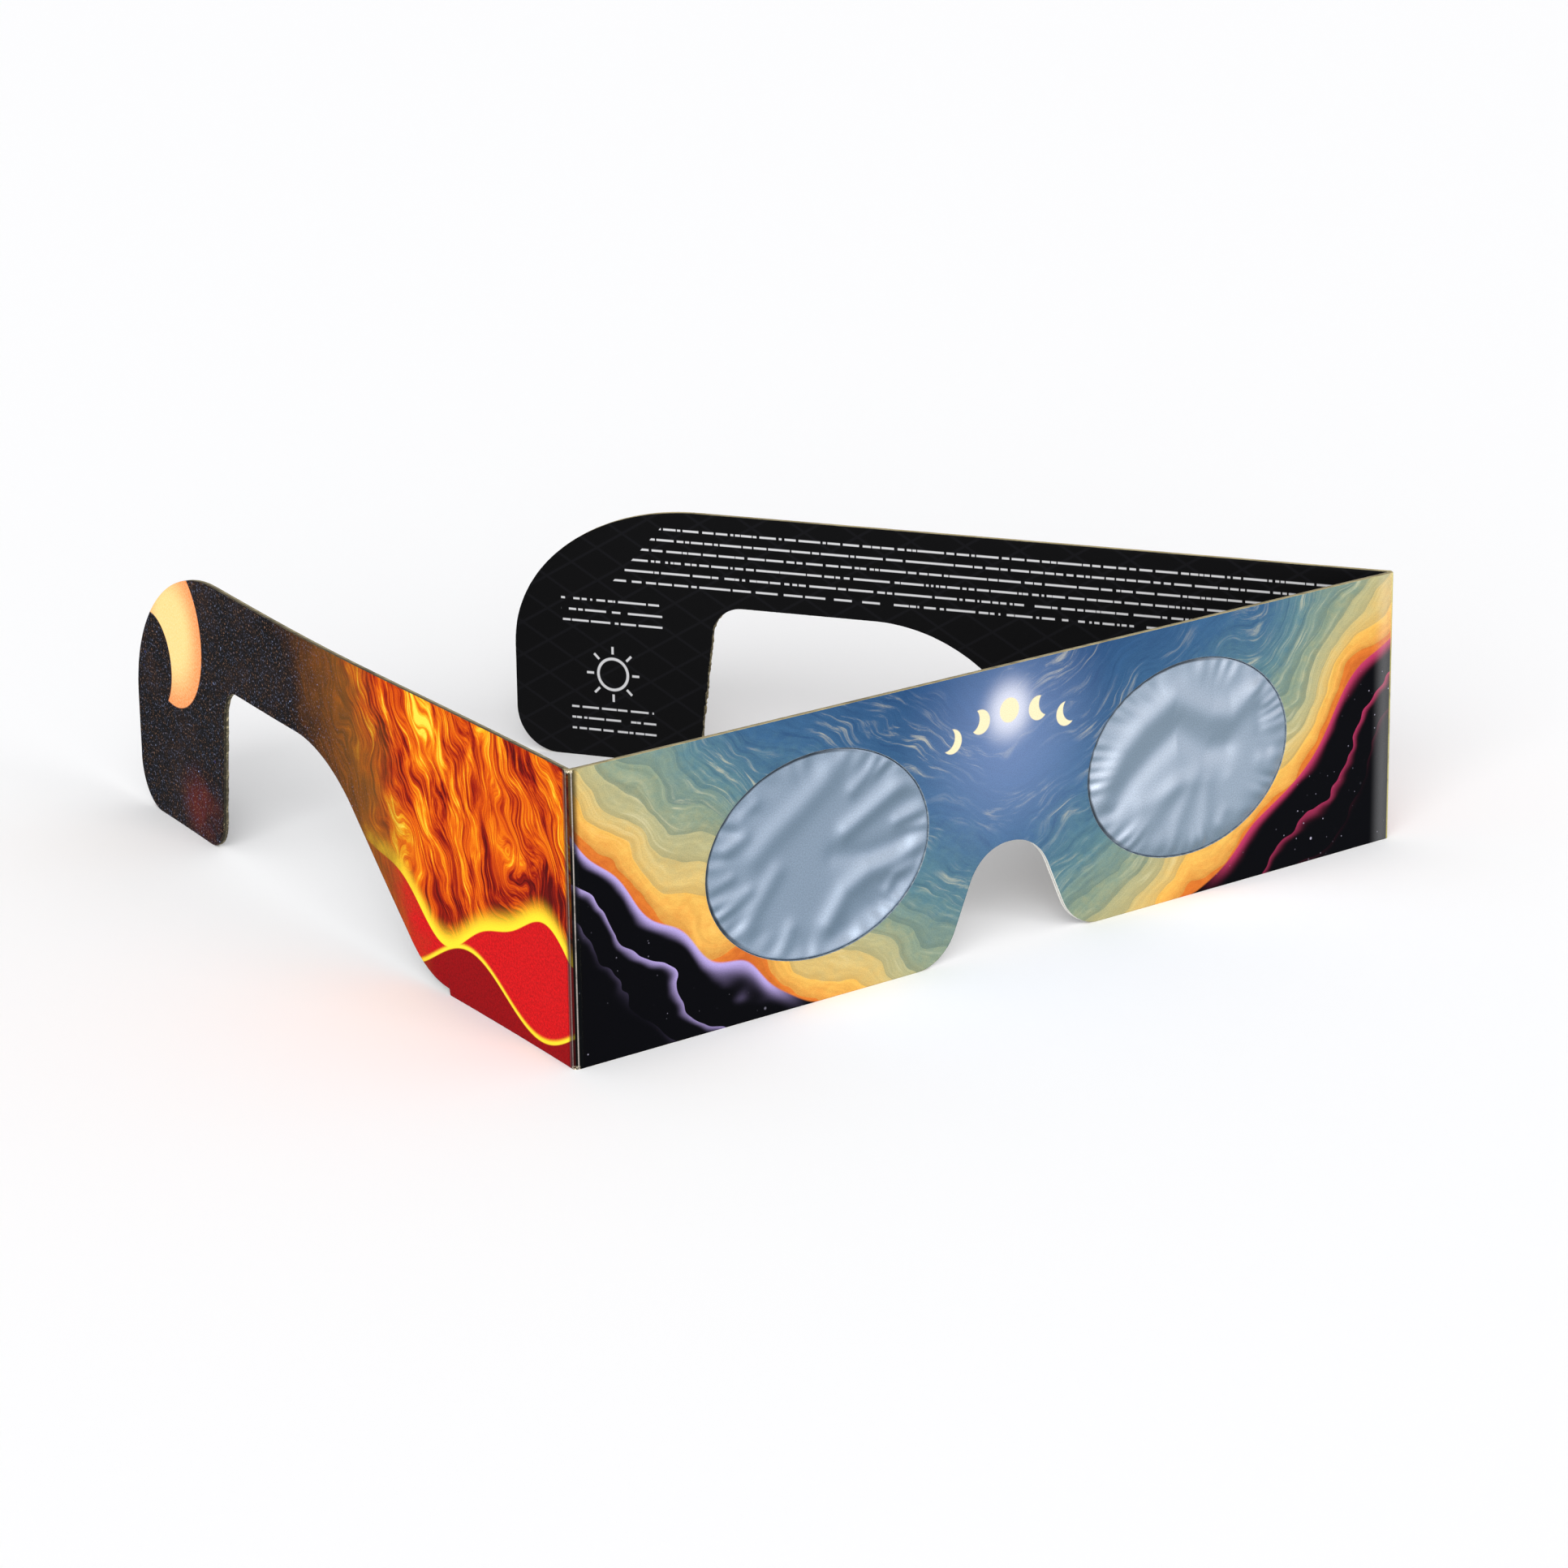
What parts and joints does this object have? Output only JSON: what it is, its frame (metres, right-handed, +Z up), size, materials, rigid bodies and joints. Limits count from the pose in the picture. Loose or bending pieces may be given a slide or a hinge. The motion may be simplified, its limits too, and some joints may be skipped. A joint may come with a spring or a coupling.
{
  "type": "card eclipse glasses",
  "caption": "Folding two-ply card glasses with oval solar filter films, a nose notch and hooked temples that swing on scored folds.",
  "frame": {"origin": "middle of the nose notch's mouth, in the plane of the printed front face and at the foot line that the glasses stand on", "axes": "+X along the front to the right as seen from the front, +Y from the printed front face towards the wearer, +Z up"},
  "size_m": [0.15, 0.1394, 0.0405],
  "materials": {
    "printed_card": "gloss printed face, raw tan cut edges",
    "black_card": "semi-matt black face, raw tan cut edges",
    "glue": "dry glue line",
    "filter_film": "satin metallised film, silver outside and gold inside, puckered"
  },
  "bodies": {
    "front": {"front_outer_card": "printed_card", "front_glue_layer": "glue", "front_inner_card": "black_card", "left_filter_film": "filter_film", "right_filter_film": "filter_film", "left_outer_crease": "printed_card", "left_inner_crease": "black_card", "right_outer_crease": "printed_card", "right_inner_crease": "black_card"},
    "left_temple": {"left_temple_outer_card": "printed_card", "left_temple_glue_layer": "glue", "left_temple_inner_card": "black_card"},
    "right_temple": {"right_temple_outer_card": "printed_card", "right_temple_glue_layer": "glue", "right_temple_inner_card": "black_card"}
  },
  "joints": [
    {"name": "left_fold", "type": "hinge", "parent": "front", "child": "left_temple", "pos_m": [-0.074, 0.00099, 0], "axis": [0, 0, 1], "range_deg": [-28.5, 99], "deforming": ["left_outer_crease", "left_inner_crease"]},
    {"name": "right_fold", "type": "hinge", "parent": "front", "child": "right_temple", "pos_m": [0.074, 0.00099, 0], "axis": [0, 0, -1], "range_deg": [-61, 119], "deforming": ["right_outer_crease", "right_inner_crease"]}
  ]
}
